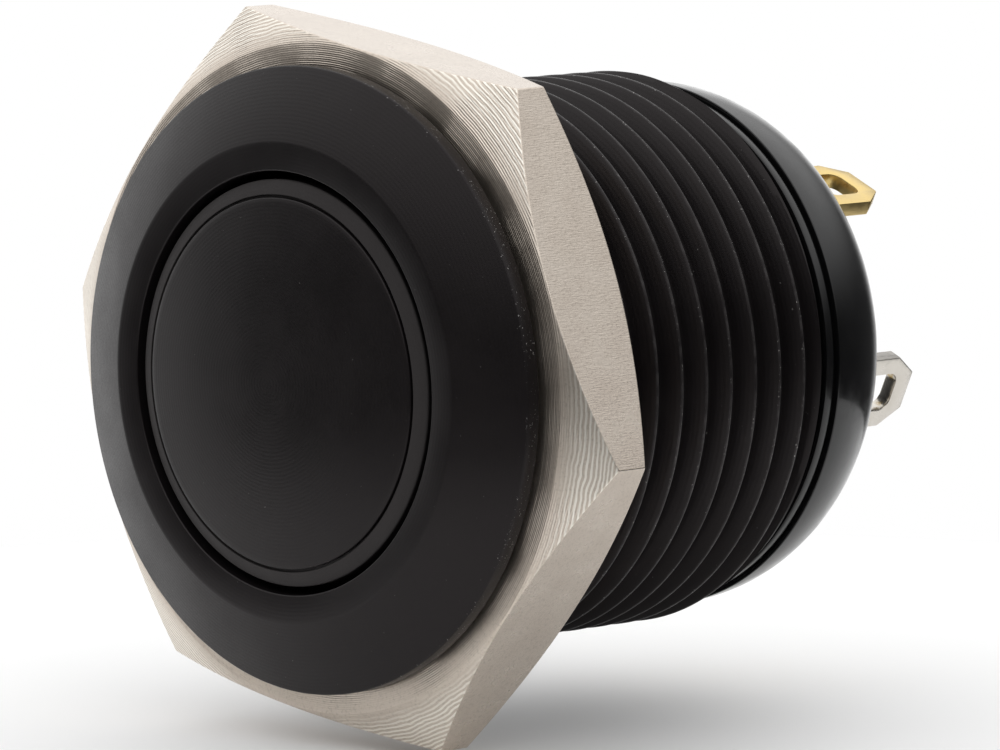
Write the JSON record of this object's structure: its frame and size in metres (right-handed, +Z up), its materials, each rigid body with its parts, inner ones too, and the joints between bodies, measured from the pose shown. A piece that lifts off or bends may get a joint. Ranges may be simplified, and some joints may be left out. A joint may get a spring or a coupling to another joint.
{
  "type": "industrial push button",
  "caption": "Panel-mount momentary push button with a domed cap in a bevelled round bezel, a threaded barrel with a hexagon nut, a rounded tail and solder lugs.",
  "frame": {"origin": "on the push axis, in the plane of the bezel's rear seat", "axes": "+Y from the cap to the solder lugs along the push axis, +Z up, +X to the right seen from the front"},
  "size_m": [0.0216, 0.0225, 0.0204],
  "materials": {
    "anodised_black": "black anodised aluminium, satin, finely turned",
    "anodised_cap": "black anodised aluminium, smooth satin",
    "nickel_plate": "nickel-plated brass, turned face and ground flats",
    "rubber_black": "black nitrile rubber",
    "acetal_white": "natural acetal",
    "moulded_dark": "black glass-filled moulding",
    "gloss_black": "glossy black moulding",
    "spring_steel": "bright spring steel",
    "gold_plate": "gold-plated brass, stamped",
    "silver_plate": "silver-plated brass, stamped",
    "silver_alloy": "silver alloy contact tips"
  },
  "bodies": {
    "housing": {"bushing": "anodised_black", "panel_gasket": "rubber_black", "snap_ring": "spring_steel", "contact_block": "moulded_dark", "rear_base": "gloss_black", "base_seal": "rubber_black", "no_terminal_a": "gold_plate", "no_terminal_b": "gold_plate", "nc_terminal_a": "silver_plate", "nc_terminal_b": "silver_plate", "no_fixed_tips": "silver_alloy", "nc_fixed_tips": "silver_alloy", "return_spring": "spring_steel", "nc_spring": "spring_steel"},
    "button": {"button_cap": "anodised_cap", "cap_seal": "rubber_black", "plunger": "acetal_white", "spacer_sleeve": "acetal_white", "contact_spring": "spring_steel"},
    "no_contact": {"no_bridge": "gold_plate", "no_moving_tips": "silver_alloy"},
    "nc_contact": {"nc_bridge": "silver_plate", "nc_moving_tips": "silver_alloy"},
    "nut": {"hex_nut": "nickel_plate"}
  },
  "joints": [
    {"name": "button_press", "type": "slide", "parent": "housing", "child": "button", "axis": [0, 1, 0], "range_m": [0, 0.0015], "stiffness_N_per_m": 1400, "springref_m": -0.001, "deforming": ["return_spring", "contact_spring"]},
    {"name": "no_contact_slide", "type": "slide", "parent": "housing", "child": "no_contact", "axis": [0, 1, 0], "range_m": [0, 0.0009]},
    {"name": "nc_contact_slide", "type": "slide", "parent": "housing", "child": "nc_contact", "axis": [0, 1, 0], "range_m": [0, 0.00105], "deforming": ["nc_spring"]},
    {"name": "nut_travel", "type": "slide", "parent": "housing", "child": "nut", "axis": [0, 1, 0], "range_m": [0, 0.0094]}
  ],
  "couplings": [
    {"joint": "no_contact_slide", "follows": "button_press", "ratio": 0.6},
    {"joint": "nc_contact_slide", "follows": "button_press", "ratio": 0.7}
  ]
}
